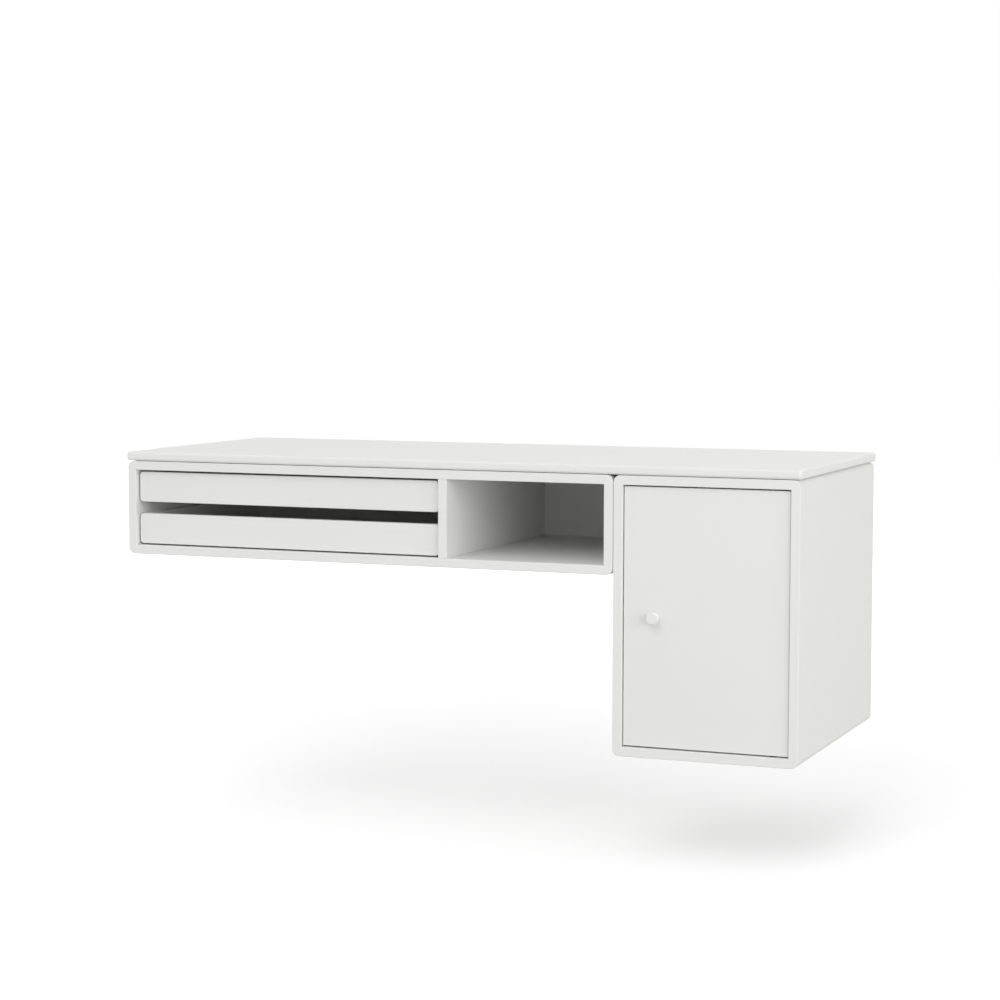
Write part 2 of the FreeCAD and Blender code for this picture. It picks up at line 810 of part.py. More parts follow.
def tray_boards(prefix, z):
    """A tray's front, sides, back and bottom; z is the lower edge of its front."""
    top = z + TRAY_HEIGHT
    x0, x1 = TRAY_X
    y = (TRAY_FRONT, TRAY_SIDE_FRONT)
    front = extruded(f"{prefix}_front_blank", "XZ_Plane", y, rectangle(TRAY_X, (z, top)))

    def is_corner(edge):
        at_end = any(lies_at(edge, "X", end) for end in TRAY_X)
        return at_end and any(lies_at(edge, "Z", level) for level in (z, top))

    ease(front, S.tray_corner, is_corner)
    ease(front, S.tray_ease, lambda edge: lies_at(edge, "Y", TRAY_FRONT))
    ease(front, S.edge_ease, lambda edge: is_level(edge, TRAY_SIDE_FRONT, top))
    keep(f"{prefix}_front", front)

    def board(name, plane, span, outline):
        """A board of the tray with its long upper edges eased."""
        piece = extruded(f"{name}_blank", plane, span, outline)
        long = (span[1] - span[0]).value - TOLERANCE
        ease(piece, S.edge_ease, lambda edge: lies_at(edge, "Z", top) and edge.Length > long)
        keep(name, piece)

    side_y = (TRAY_SIDE_FRONT, TRAY_END)
    side_z = (z + S.tray_side_lift, top)
    inner = (x0 + S.tray_side_board, x1 - S.tray_side_board)
    board(f"{prefix}_left", "XZ_Plane", side_y, rectangle((x0, inner[0]), side_z))
    board(f"{prefix}_right", "XZ_Plane", side_y, rectangle((inner[1], x1), side_z))

    bottom_z = (z + S.tray_bottom_lift, z + S.tray_bottom_lift + S.tray_bottom_board)
    back_y = (TRAY_END - S.tray_side_board, TRAY_END)
    board(f"{prefix}_back", "YZ_Plane", inner, rectangle(back_y, (bottom_z[1], top)))

    def bottom(name, play, end):
        reach = S.tray_tongue + play
        across = (inner[0] - reach, inner[1] + reach)
        along = (TRAY_SIDE_FRONT - reach, end)
        return box(name, across, along, (bottom_z[0] - play, bottom_z[1] + play))

    keep(f"{prefix}_bottom", bottom(f"{prefix}_bottom_blank", ZERO, TRAY_END))
    for board in ("front", "left", "right"):
        groove = bottom(f"{prefix}_{board}_bottom_groove", S.groove_play, TRAY_END + S.overrun)
        CUTS[f"{prefix}_{board}"].append(groove)

    low, high = runner_heights(z)
    reach = S.runner_reach + S.runner_play
    track_y = (TRAY_SIDE_FRONT - S.overrun, TRAY_END + S.overrun)
    track_z = (low - S.runner_play, high + S.runner_play)
    tracks = {"left": (x0 - S.overrun, x0 + reach), "right": (x1 - reach, x1 + S.overrun)}
    for side, track_x in tracks.items():
        CUTS[f"{prefix}_{side}"].append(box(f"{prefix}_{side}_track", track_x, track_y, track_z))


def tray_joints(prefix, z):
    """The dowels in a tray's corners and the pegs that stop its pull."""
    x0, x1 = TRAY_X
    side = S.tray_side_board
    radius, length = S.tray_dowel_radius, S.tray_dowel_length
    front_pin, front_hole = dowel(f"{prefix}_front_dowel", radius, length, S.tray_dowel_bite)
    back_pin, back_hole = dowel(f"{prefix}_back_dowel", radius, length, S.tray_back_bite)
    heights = [z + TRAY_HEIGHT * share for share in TRAY_DOWEL_SHARES]
    pins = []
    for end, x, inner, direction in (
        ("left", x0 + side / 2, x0 + side, RIGHT),
        ("right", x1 - side / 2, x1 - side, LEFT),
    ):
        board = f"{prefix}_{end}"
        front_spots = [(x, TRAY_SIDE_FRONT, height) for height in heights]
        back_spots = [(inner, TRAY_END - side / 2, height) for height in heights]
        pins += copies(f"{board}_front_pin", front_pin, BACKWARDS, front_spots)
        pins += copies(f"{board}_back_pin", back_pin, direction, back_spots)
        for node in (f"{prefix}_front", board):
            CUTS[node] += copies(f"{node}_{end}_front_drill", front_hole, BACKWARDS, front_spots)
        for node in (f"{prefix}_back", board):
            CUTS[node] += copies(f"{node}_{end}_back_drill", back_hole, direction, back_spots)
    keep(f"{prefix}_dowels", group(f"{prefix}_dowels_group", pins))

    peg = turned(
        f"{prefix}_peg",
        [
            (ZERO, -S.peg_head),
            (S.peg_radius, -S.peg_head),
            (S.peg_radius, ZERO),
            (S.peg_shank_radius, ZERO),
            (S.peg_shank_radius, S.peg_shank),
            (ZERO, S.peg_shank),
        ],
    )
    drill_end = S.peg_shank + S.joint_play
    drill = rod(f"{prefix}_peg_hole", S.peg_shank_radius + S.joint_play, -S.overrun, drill_end)
    peg_y = TRAY_END - S.peg_end
    peg_z = runner_heights(z)[1] + S.stop_rise / 2
    sets = [
        (RIGHT, [(x0, peg_y, peg_z)], [f"{prefix}_left"]),
        (LEFT, [(x1, peg_y, peg_z)], [f"{prefix}_right"]),
    ]
    fasten(f"{prefix}_pegs", peg, drill, sets)


RUNNER_FRONT = TRAY_SIDE_FRONT + S.runner_play
RUNNER_END = Y_BACK - S.runner_back_gap


def runners(prefix, z):
    """The two strips that a tray runs on, each with a stop lug at its front end."""
    low, high = runner_heights(z)
    reach = S.tray_side_gap + S.runner_reach
    lug = S.stop_thickness
    strips = []
    for side, strip_x, lug_x in (
        ("left", (X_BAY, X_BAY + reach), (X_BAY, X_BAY + lug)),
        ("right", (X_DIVIDER - reach, X_DIVIDER), (X_DIVIDER - lug, X_DIVIDER)),
    ):
        name = f"{prefix}_{side}_runner"
        strip = box(f"{name}_strip", strip_x, (RUNNER_FRONT, RUNNER_END), (low, high))
        lug_y = (RUNNER_FRONT, RUNNER_FRONT + S.stop_length)
        stop = box(f"{name}_lug", lug_x, lug_y, (low, high + S.stop_rise))
        strips.append(joined(name, [strip, stop]))
    keep(f"{prefix}_runners", group(f"{prefix}_runners_group", strips))


def runner_screws():
    reach = S.tray_side_gap + S.runner_reach
    solid, hole = wood_screw("runner_screw", reach + S.runner_screw_bite)
    ends = (RUNNER_FRONT + S.runner_screw_end, RUNNER_END - S.runner_screw_end)
    rows = [between(*ends, share) for share in RUNNER_SCREW_SHARES]
    sets = []
    for prefix, z in (("upper_tray", Z_UPPER_TRAY), ("lower_tray", Z_LOWER_TRAY)):
        height = middle(*runner_heights(z))
        left = [(X_BAY + reach, y, height) for y in rows]
        right = [(X_DIVIDER - reach, y, height) for y in rows]
        strips = f"{prefix}_runners"
        sets.append((LEFT, left, [strips, "desk_case_left"]))
        sets.append((RIGHT, right, [strips, "desk_case_divider"]))
    fasten("runner_screws", solid, hole, sets)


# Door

DOOR_X = (X_CABINET + S.board + S.door_side_gap, X_RIGHT - S.board - S.door_side_gap)
DOOR_Y = (FRONT + S.door_recess, FRONT + S.door_recess + S.door_board)
DOOR_Z = (Z_CABINET + S.board + S.door_gap, Z_CEILING - S.door_gap)
PIVOT = (DOOR_X[1] - S.pivot_inset, middle(*DOOR_Y))


def door_panel():
    panel = extruded("door_panel_blank", "XZ_Plane", DOOR_Y, rectangle(DOOR_X, DOOR_Z))
    ease(panel, S.door_ease, lambda edge: any(lies_at(edge, "Y", face) for face in DOOR_Y))
    keep("door_panel", panel)


def door_pivots():
    """A pin in the door's lower edge, a pin dropped through the cupboard's top, and their bushes."""
    bore = S.pivot_radius + S.pivot_play
    bush = turned(
        "pivot_bush",
        [
            (bore, -S.bush_length),
            (S.bush_radius, -S.bush_length),
            (S.bush_radius, ZERO),
            (S.bush_flange_radius, ZERO),
            (S.bush_flange_radius, S.bush_flange),
            (bore, S.bush_flange),
        ],
    )
    depth = -(S.bush_length + S.joint_play)
    seat = rod("pivot_bush_hole", S.bush_radius + S.joint_play, depth, S.overrun)
    floor = (*PIVOT, Z_CABINET + S.board)
    head = (*PIVOT, DOOR_Z[1])
    fasten("door_lower_bush", bush, seat, [(UP, [floor], ["cabinet_bottom"])])
    fasten("door_upper_bush", bush, seat, [(UP, [head], ["door_panel"])])

    collar = S.door_gap - S.bush_flange - S.collar_play
    reach = S.door_gap + S.bush_length - S.pin_end_gap
    lower = turned(
        "lower_pin",
        [
            (ZERO, -reach),
            (S.pivot_radius, -reach),
            (S.pivot_radius, -collar),
            (S.collar_radius, -collar),
            (S.collar_radius, ZERO),
            (S.pivot_radius, ZERO),
            (S.pivot_radius, S.lower_pin_depth),
            (ZERO, S.lower_pin_depth),
        ],
    )
    drill_end = S.lower_pin_depth + S.joint_play
    drill = rod("lower_pin_hole", S.pivot_radius + S.joint_play, -S.overrun, drill_end)
    fasten("door_lower_pin", lower, drill, [(UP, [(*PIVOT, DOOR_Z[0])], ["door_panel"])])

    end = S.board + reach
    play = S.joint_play
    upper = turned(
        "upper_pin",
        [
            (ZERO, ZERO),
            (S.upper_pin_head_radius, ZERO),
            (S.upper_pin_head_radius, S.upper_pin_head),
            (S.pivot_radius, S.upper_pin_head),
            (S.pivot_radius, end),
            (ZERO, end),
        ],
    )
    drill = turned(
        "upper_pin_hole",
        [
            (ZERO, -S.overrun),
            (S.upper_pin_head_radius + play, -S.overrun),
            (S.upper_pin_head_radius + play, S.upper_pin_head),
            (S.pivot_radius + play, S.upper_pin_head),
            (S.pivot_radius + play, S.board + S.overrun),
            (ZERO, S.board + S.overrun),
        ],
    )
    fasten("door_upper_pin", upper, drill, [(DOWN, [(*PIVOT, Z_TOP)], ["cabinet_top"])])


def knob():
    """A turned knob on a slim neck, held by a screw from behind the door."""
    spot = (DOOR_X[0] + S.knob_inset, middle(*DOOR_Z))
    under = S.knob_length - S.knob_head
    shank = S.pan_shank_radius + S.joint_play
    bore = S.knob_screw_bite + S.knob_bore_spare
    body = turned(
        "knob_master",
        [
            (shank, ZERO),
            (S.knob_foot_radius, ZERO),
            (S.knob_foot_radius, S.knob_foot),
            (S.knob_neck_radius, S.knob_foot),
            (S.knob_neck_radius, under),
            (S.knob_radius, under),
            (S.knob_radius, S.knob_length),
            (ZERO, S.knob_length),
            (ZERO, bore),
            (shank, bore),
        ],
    )

    def is_ring(edge, radius, height):
        if not isinstance(edge.Curve, Part.Circle) or not lies_at(edge, "Z", height):
            return False
        return abs(edge.Curve.Radius - radius.value) < TOLERANCE

    def under_head(edge):
        return any(is_ring(edge, radius, under) for radius in (S.knob_radius, S.knob_neck_radius))

    ease(body, S.knob_rim, lambda edge: is_ring(edge, S.knob_radius, S.knob_length))
    ease(body, S.knob_under, under_head)
    at_face = copies("door_knob", body, FORWARDS, [(spot[0], DOOR_Y[0], spot[1])])
    keep("door_knob", at_face[0])

    solid, hole = pan_screw("knob_fixing", S.door_board + S.knob_screw_bite)
    fasten("knob_screw", solid, hole, [(FORWARDS, [(spot[0], DOOR_Y[1], spot[1])], ["door_panel"])])


def catch():
    """A magnet in a housing on the cupboard's side, and the steel plate that it holds on the door."""
    wall_x = X_CABINET + S.board
    centre = middle(*DOOR_Z)
    plate_y = (DOOR_Y[1], DOOR_Y[1] + S.strike_thickness)
    front = plate_y[1] + S.catch_play
    half = S.catch_height / 2
    depth = (front, front + S.catch_depth)
    tall = half + S.ear_height
    ear = wall_x + S.ear_thickness
    face = wall_x + S.catch_width
    outline = [
        (wall_x, centre - tall),
        (ear, centre - tall),
        (ear, centre - half),
        (face, centre - half),
        (face, centre + half),
        (ear, centre + half),
        (ear, centre + tall),
        (wall_x, centre + tall),
    ]
    housing = extruded("catch_housing_blank", "XZ_Plane", depth, outline)
    ease(housing, S.catch_ease, lambda edge: edge.BoundBox.XMin > wall_x.value + TOLERANCE)
    keep("catch_housing", housing)

    def magnet(name, play):
        side = wall_x + (S.catch_width - S.magnet_width) / 2
        x = (side - play, side + S.magnet_width + play)
        z = (centre - S.magnet_height / 2 - play, centre + S.magnet_height / 2 + play)
        return box(name, x, (front, front + S.magnet_depth + play), z)

    keep("catch_magnet", magnet("catch_magnet_blank", ZERO))
    CUTS["catch_housing"].append(magnet("catch_magnet_pocket", S.joint_play))

    solid, hole = wood_screw("catch_screw", S.ear_thickness + S.catch_screw_bite)
    reach = half + S.ear_height / 2
    spots = [(ear, middle(*depth), z) for z in (centre - reach, centre + reach)]
    fasten("catch_screws", solid, hole, [(LEFT, spots, ["catch_housing", "cabinet_left"])])

    plate_x = (DOOR_X[0] + S.strike_inset, DOOR_X[0] + S.strike_inset + S.strike_width)
    plate_z = (centre - S.strike_height / 2, centre + S.strike_height / 2)
    plate = extruded("strike_plate_blank", "XZ_Plane", plate_y, rectangle(plate_x, plate_z))
    ease(plate, S.strike_corner, lambda edge: edge.BoundBox.YLength > TOLERANCE)
    keep("strike_plate", plate)
    solid, hole = wood_screw("strike_screw", S.strike_thickness + S.strike_screw_bite)
    spots = [(middle(*plate_x), plate_y[1], between(*plate_z, share)) for share in STRIKE_SCREW_SHARES]
    fasten("strike_screws", solid, hole, [(FORWARDS, spots, ["strike_plate", "door_panel"])])


# The whole desk

case("desk_case", X_LEFT, X_SEAM, Z_DESK)
case("cabinet", X_CABINET, X_RIGHT, Z_CABINET)
divider()
connectors()
desktop()
wall_fixing()
for tray_name, tray_z in (("upper_tray", Z_UPPER_TRAY), ("lower_tray", Z_LOWER_TRAY)):
    tray_boards(tray_name, tray_z)
    tray_joints(tray_name, tray_z)
    runners(tray_name, tray_z)
runner_screws()
door_panel()
door_pivots()
knob()
catch()

pieces = {}
for node, blank in BLANKS.items():
    piece = cut(node, blank, CUTS[node]) if CUTS[node] else blank
    piece.Label = node
    pieces[node] = piece
doc.recompute()

# Nothing is written unless every object is sound
faults = [item.Name for item in doc.Objects if {"Invalid", "Error"} & set(item.State)]
for node, piece in pieces.items():
    if piece.Shape.isNull() or not piece.Shape.isValid() or not piece.Shape.Solids:
        faults.append(node)
if faults:
    raise RuntimeError("faulty objects: " + ", ".join(faults))

os.makedirs("parts", exist_ok=True)
for node, piece in pieces.items():
    piece.Shape.exportStep(f"parts/{node}.step")
    print(node, len(piece.Shape.Solids), round(piece.Shape.Volume, 1))
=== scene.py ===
"""Looks of the floating wall desk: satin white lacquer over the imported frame, in soft studio light."""

import math

import bpy
from mathutils import Matrix, Vector


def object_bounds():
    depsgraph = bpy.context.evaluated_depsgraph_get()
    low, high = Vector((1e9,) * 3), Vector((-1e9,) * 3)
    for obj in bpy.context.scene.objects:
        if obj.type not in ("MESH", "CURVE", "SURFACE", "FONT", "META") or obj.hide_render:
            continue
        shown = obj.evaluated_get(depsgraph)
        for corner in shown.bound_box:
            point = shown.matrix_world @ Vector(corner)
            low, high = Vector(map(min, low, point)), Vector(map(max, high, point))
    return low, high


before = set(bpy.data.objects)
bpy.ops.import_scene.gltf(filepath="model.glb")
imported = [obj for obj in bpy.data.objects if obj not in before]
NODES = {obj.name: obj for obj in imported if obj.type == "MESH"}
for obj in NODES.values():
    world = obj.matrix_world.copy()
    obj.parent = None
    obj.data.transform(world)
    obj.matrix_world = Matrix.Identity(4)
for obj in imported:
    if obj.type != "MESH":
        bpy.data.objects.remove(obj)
cad_low, cad_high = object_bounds()

# Camera, in metres and degrees, with its lens in millimetres
CAMERA_PLACE = (1.22430, -3.20289, 0.28574)
CAMERA_TURN = 22.1375
CAMERA_DIP = 4.6125
CAMERA_ROLL = 0.0856
CAMERA_LENS = 86.607
LEVEL_TILT = 90.0

# Floor and the white round it, in metres
FLOOR_DROP = 0.130
FLOOR_SIDE = 14.0
FLOOR_TONE = 0.64
FLOOR_SEEN_TONE = 0.93
FLOOR_GLOW = 0.21
FLOOR_FAR_GLOW = 0.62
FLOOR_NEAR_REACH = 0.85
FLOOR_FAR_REACH = 2.4
WHITE = (1.0, 1.0, 1.0, 1.0)
WHITE_STRENGTH = 1.0
AMBIENT = 0.56

# Lamps, turned to the right of the front and raised from level, in degrees and metres
LAMP_REACH = 6.0
ABOVE_TURN = -40.0
ABOVE_RISE = 76.0
ABOVE_SPREAD = 40.0
ABOVE_STRENGTH = 0.24
SOFTBOXES = {
    "front_softbox": {"turn": -8.0, "rise": 40.0, "width": 3.6, "height": 3.8, "watts": 68.0},
    "right_softbox": {"turn": 57.0, "rise": 12.0, "width": 6.0, "height": 3.0, "watts": 142.0},
    "left_softbox": {"turn": -85.0, "rise": 15.0, "width": 4.0, "height": 3.0, "watts": 48.0},
    "rear_softbox": {"turn": 176.0, "rise": 36.0, "width": 5.0, "height": 3.0, "watts": 42.0},
}

# Colours
LACQUER = (0.820, 0.822, 0.803, 1.0)
BOARD_BROWN = (0.42, 0.30, 0.19, 1.0)
BOARD_PALE = (0.56, 0.43, 0.29, 1.0)
BOARD_FLECK = (0.24, 0.16, 0.095, 1.0)
BEECH_PALE = (0.66, 0.47, 0.30, 1.0)
BEECH_DARK = (0.50, 0.33, 0.195, 1.0)
BEECH_FLECK = (0.36, 0.22, 0.125, 1.0)
ZINC = (0.52, 0.535, 0.55, 1.0)
NICKEL = (0.68, 0.67, 0.64, 1.0)
BRIGHT_ZINC = (0.66, 0.66, 0.65, 1.0)
BLACK_STEEL = (0.055, 0.055, 0.060, 1.0)
NYLON = (0.80, 0.80, 0.775, 1.0)
WHITE_PLASTIC = (0.78, 0.78, 0.755, 1.0)
BLACK_PLASTIC = (0.024, 0.024, 0.026, 1.0)
WASHER = (0.72, 0.73, 0.72, 1.0)
FERRITE = (0.045, 0.045, 0.048, 1.0)
FERRITE_GRAIN = (0.10, 0.10, 0.105, 1.0)

# Skins: how far tone and gloss drift either way, and how closely their clouds and ripples lie
LACQUER_SKIN = {"Tone_Spread": 0.014, "Gloss_Spread": 0.16}
PLASTIC_SKIN = {"Tone_Spread": 0.03, "Gloss_Spread": 0.12, "Cloud_Scale": 70.0}
METAL_SKIN = {"Gloss_Spread": 0.20, "Cloud_Scale": 65.0, "Skin_Scale": 1500.0}
ZINC_SKIN = {
    "Tone_Spread": 0.05,
    "Gloss": 0.40,
    "Gloss_Spread": 0.15,
    "Cloud_Scale": 30.0,
    "Skin_Scale": 1400.0,
}
BEECH_SKIN = {
    "Tone_Spread": 0.06,
    "Gloss": 0.62,
    "Gloss_Spread": 0.12,
    "Cloud_Scale": 120.0,
    "Skin_Scale": 900.0,
}
BOARD_SKIN = {
    "Tone_Spread": 0.10,
    "Gloss": 0.88,
    "Gloss_Spread": 0.05,
    "Cloud_Scale": 26.0,
    "Skin_Scale": 1100.0,
}
MAGNET_SKIN = {
    "Tone_Spread": 0.12,
    "Gloss": 0.58,
    "Gloss_Spread": 0.15,
    "Cloud_Scale": 160.0,
    "Skin_Scale": 1700.0,
}
CLOUD_DETAIL = 4.0
RIPPLE_DETAIL = 2.0
NOISE_MIDDLE = 0.5
NOISE_GAIN = 2.0

# Dots: how closely their cells lie, how far a dot reaches in its cell and the share of cells with one
DUST_NIBS = {"Scale": 55.0, "Size": 0.022, "Share": 0.16}
BEECH_FLECKS = {"Scale": 1300.0, "Size": 0.34, "Share": 0.35}
BOARD_FLECKS = {"Scale": 520.0, "Size": 0.30, "Share": 0.30}
MAGNET_GRAINS = {"Scale": 1400.0, "Size": 0.42, "Share": 0.30}

# Lines, drawn out by shrinking the place along one way
DRAW_SHARE = 0.04
ALONG_X = (DRAW_SHARE, 1.0, 1.0)
ALONG_Y = (1.0, DRAW_SHARE, 1.0)
ALONG_Z = (1.0, 1.0, DRAW_SHARE)
LINE_DETAIL = 5.0
LINE_BREAK = 0.62
METAL_LINE_SCALE = 2600.0
METAL_LINE_TONE_SPREAD = 0.10
METAL_LINE_GLOSS_SPREAD = 0.35
ZINC_LINE_SCALE = 2200.0
ZINC_LINE_TONE_SPREAD = 0.08
ZINC_LINE_RISE = 0.5
BEECH_GRAIN_SCALE = 900.0
BEECH_FLECK_SHARE = 0.25
BOARD_FIBRE_SCALE = 850.0
BOARD_FIBRE_DRAW = (0.35, 1.0, 1.0)
BOARD_FLECK_DRAW = (0.30, 1.0, 0.8)

# Crystals on the zinc, with ragged edges
CRYSTAL_SCALE = 130.0
CRYSTAL_TONE_SPREAD = 0.05
CRYSTAL_GLOSS_SPREAD = 0.14
RAGGED_SCALE = 90.0
RAGGED_DETAIL = 2.0
RAGGED_REACH = (0.012, 0.012, 0.012)

# Relief of the surfaces, in metres, with the height of a nib against the peel round it
LACQUER_DEPTH = 0.000012
METAL_DEPTH = 0.000004
ZINC_DEPTH = 0.000006
BEECH_DEPTH = 0.00003
BOARD_DEPTH = 0.00005
MAGNET_DEPTH = 0.00002
NIB_RISE = 2.4

# Shaders
LACQUER_SHEEN = 0.35
METAL_WEIGHT = 1.0
BUMP_STRENGTH = 1.0

# Sockets of a colour mix, by number, because their names repeat
MIX_SHARE = 0
MIX_FIRST = 6
MIX_SECOND = 7
MIX_COLOUR = 2


# Nodes


def add_node(tree, kind, inputs=None, **settings):
    """A new node whose inputs are values or the sockets that feed them."""
    made = tree.nodes.new(kind)
    for name, value in settings.items():
        setattr(made, name, value)
    for key, value in (inputs or {}).items():
        if isinstance(value, bpy.types.NodeSocket):
            tree.links.new(value, made.inputs[key])
        else:
            made.inputs[key].default_value = value
    return made


def math_node(tree, operation, *values, clamp=False):
    inputs = dict(enumerate(values))
    return add_node(tree, "ShaderNodeMath", inputs, operation=operation, use_clamp=clamp).outputs[0]


def vector_node(tree, operation, *values):
    inputs = dict(enumerate(values))
    return add_node(tree, "ShaderNodeVectorMath", inputs, operation=operation).outputs[0]


def shaded(tree, colour, shade):
    """A colour made lighter or darker by a value about 1."""
    inputs = {"Vector": colour, "Scale": shade}
    return add_node(tree, "ShaderNodeVectorMath", inputs, operation="SCALE").outputs[0]


def blended(tree, share, first, second):
    """A colour part way from the first to the second."""
    inputs = {MIX_SHARE: share, MIX_FIRST: first, MIX_SECOND: second}
    return add_node(tree, "ShaderNodeMix", inputs, data_type="RGBA").outputs[MIX_COLOUR]


def mixed_shader(tree, share, first, second):
    inputs = dict(enumerate((share, first, second)))
    return add_node(tree, "ShaderNodeMixShader", inputs).outputs[0]


def noise(tree, place, scale, detail, **shape):
    inputs = {"Vector": place, "Scale": scale, "Detail": detail, **shape}
    return add_node(tree, "ShaderNodeTexNoise", inputs).outputs


def cells(tree, place, scale):
    """Irregular cells: the distance from each cell's middle, and two chance values per cell."""
    found = add_node(tree, "ShaderNodeTexVoronoi", {"Vector": place, "Scale": scale}).outputs
    lot = add_node(tree, "ShaderNodeSeparateColor", {"Color": found["Color"]}).outputs
    return found["Distance"], lot["Red"], lot["Green"]


def about_one(tree, factor, spread):
    """A value that wanders about 1 by the spread each way."""
    centred = math_node(tree, "SUBTRACT", factor, NOISE_MIDDLE)
    doubled = math_node(tree, "MULTIPLY", centred, NOISE_GAIN)
    return math_node(tree, "MULTIPLY_ADD", doubled, spread, 1.0)


def new_group(name, inputs, outputs):
    """An empty node group with named sockets, and its input and output nodes."""
    tree = bpy.data.node_groups.new(name, "ShaderNodeTree")
    for label, kind in inputs.items():
        tree.interface.new_socket(label, in_out="INPUT", socket_type=kind)
    for label, kind in outputs.items():
        tree.interface.new_socket(label, in_out="OUTPUT", socket_type=kind)
    return tree, tree.nodes.new("NodeGroupInput").outputs, tree.nodes.new("NodeGroupOutput").inputs


def mottle_group():
    """Slow drift of tone and gloss over a surface, and the fine unevenness of its skin."""
    tree, given, put = new_group(
        "mottle",
        {
            "Place": "NodeSocketVector",
            "Colour": "NodeSocketColor",
            "Tone Spread": "NodeSocketFloat",
            "Gloss": "NodeSocketFloat",
            "Gloss Spread": "NodeSocketFloat",
            "Cloud Scale": "NodeSocketFloat",
            "Skin Scale": "NodeSocketFloat",
        },
        {"Colour": "NodeSocketColor", "Roughness": "NodeSocketFloat", "Height": "NodeSocketFloat"},
    )
    cloud = noise(tree, given["Place"], given["Cloud Scale"], CLOUD_DETAIL)[0]
    ripple = noise(tree, given["Place"], given["Skin Scale"], RIPPLE_DETAIL)[0]
    tone = about_one(tree, cloud, given["Tone Spread"])
    gloss = about_one(tree, cloud, given["Gloss Spread"])
    tree.links.new(shaded(tree, given["Colour"], tone), put["Colour"])
    tree.links.new(math_node(tree, "MULTIPLY", given["Gloss"], gloss), put["Roughness"])
    tree.links.new(ripple, put["Height"])
    return tree


def specks_group():
    """A mask of small scattered dots, where only a share of the cells holds one."""
    tree, given, put = new_group(
        "specks",
        {
            "Place": "NodeSocketVector",
            "Scale": "NodeSocketFloat",
            "Size": "NodeSocketFloat",
            "Share": "NodeSocketFloat",
        },
        {"Mask": "NodeSocketFloat"},
    )
    distance, lot, _ = cells(tree, given["Place"], given["Scale"])
    held = math_node(tree, "LESS_THAN", lot, given["Share"])
    away = math_node(tree, "DIVIDE", distance, given["Size"])
    dome = math_node(tree, "SUBTRACT", 1.0, away, clamp=True)
    tree.links.new(math_node(tree, "MULTIPLY", dome, held), put["Mask"])
    return tree


def streaks_group():
    """Fine lines drawn out along one way, as grain or as the marks of rolling and brushing."""
    tree, given, put = new_group(
        "streaks",
        {"Place": "NodeSocketVector", "Draw": "NodeSocketVector", "Scale": "NodeSocketFloat"},
        {"Factor": "NodeSocketFloat"},
    )
    drawn = vector_node(tree, "MULTIPLY", given["Place"], given["Draw"])
    lines = noise(tree, drawn, given["Scale"], LINE_DETAIL, Roughness=LINE_BREAK)
    tree.links.new(lines[0], put["Factor"])
    return tree


MOTTLE = mottle_group()
SPECKS = specks_group()
STREAKS = streaks_group()


class Finish:
    """A material that is being made: its tree, its shader and the place on the piece."""

    def __init__(self, name, **shader):
        self.material = bpy.data.materials.new(name)
        self.material.use_nodes = True
        self.tree = self.material.node_tree
        self.surface = self.tree.nodes["Principled BSDF"]
        self.place = add_node(self.tree, "ShaderNodeTexCoord").outputs["Object"]
        for label, value in shader.items():
            self.surface.inputs[label.replace("_", " ")].default_value = value

    def effect(self, group, **inputs):
        """A group at the place on the piece, or at another place that is given, with named inputs."""
        named = {label.replace("_", " "): value for label, value in inputs.items()}
        named.setdefault("Place", self.place)
        return add_node(self.tree, "ShaderNodeGroup", named, node_tree=group).outputs

    def feed(self, colour, roughness, height, depth):
        relief = {"Height": height, "Distance": depth, "Strength": BUMP_STRENGTH}
        bump = add_node(self.tree, "ShaderNodeBump", relief)
        self.tree.links.new(colour, self.surface.inputs["Base Color"])
        self.tree.links.new(roughness, self.surface.inputs["Roughness"])
        self.tree.links.new(bump.outputs["Normal"], self.surface.inputs["Normal"])
        return self.material


# Finishes


def lacquer(name, cloud, peel, gloss):
    """Sprayed satin lacquer with a soft drift of tone, a fine peel and a few nibs of dust."""
    made = Finish(name, Specular_IOR_Level=LACQUER_SHEEN)
    skin = made.effect(
        MOTTLE, Colour=LACQUER, Gloss=gloss, Cloud_Scale=cloud, Skin_Scale=peel, **LACQUER_SKIN
    )
    nibs = made.effect(SPECKS, **DUST_NIBS)
    height = math_node(made.tree, "MULTIPLY_ADD", nibs["Mask"], NIB_RISE, skin["Height"])
    return made.feed(skin["Colour"], skin["Roughness"], height, LACQUER_DEPTH)


def moulding(name, colour, gloss, grain, depth, **shader):
    """Moulded plastic: an even colour with the grain of its mould."""
    made = Finish(name, **shader)
    skin = made.effect(MOTTLE, Colour=colour, Gloss=gloss, Skin_Scale=grain, **PLASTIC_SKIN)
    return made.feed(skin["Colour"], skin["Roughness"], skin["Height"], depth)


def drawn_metal(name, colour, gloss, along, tone):
    """Rolled or plated metal: lines along its length and a slow drift of tone and gloss."""
    made = Finish(name, Metallic=METAL_WEIGHT)
    lines = made.effect(STREAKS, Draw=along, Scale=METAL_LINE_SCALE)["Factor"]
    skin = made.effect(MOTTLE, Colour=colour, Gloss=gloss, Tone_Spread=tone, **METAL_SKIN)
    shade = about_one(made.tree, lines, METAL_LINE_TONE_SPREAD)
    worn = about_one(made.tree, lines, METAL_LINE_GLOSS_SPREAD)
    toned = shaded(made.tree, skin["Colour"], shade)
    rough = math_node(made.tree, "MULTIPLY", skin["Roughness"], worn)
    height = math_node(made.tree, "ADD", lines, skin["Height"])
    return made.feed(toned, rough, height, METAL_DEPTH)


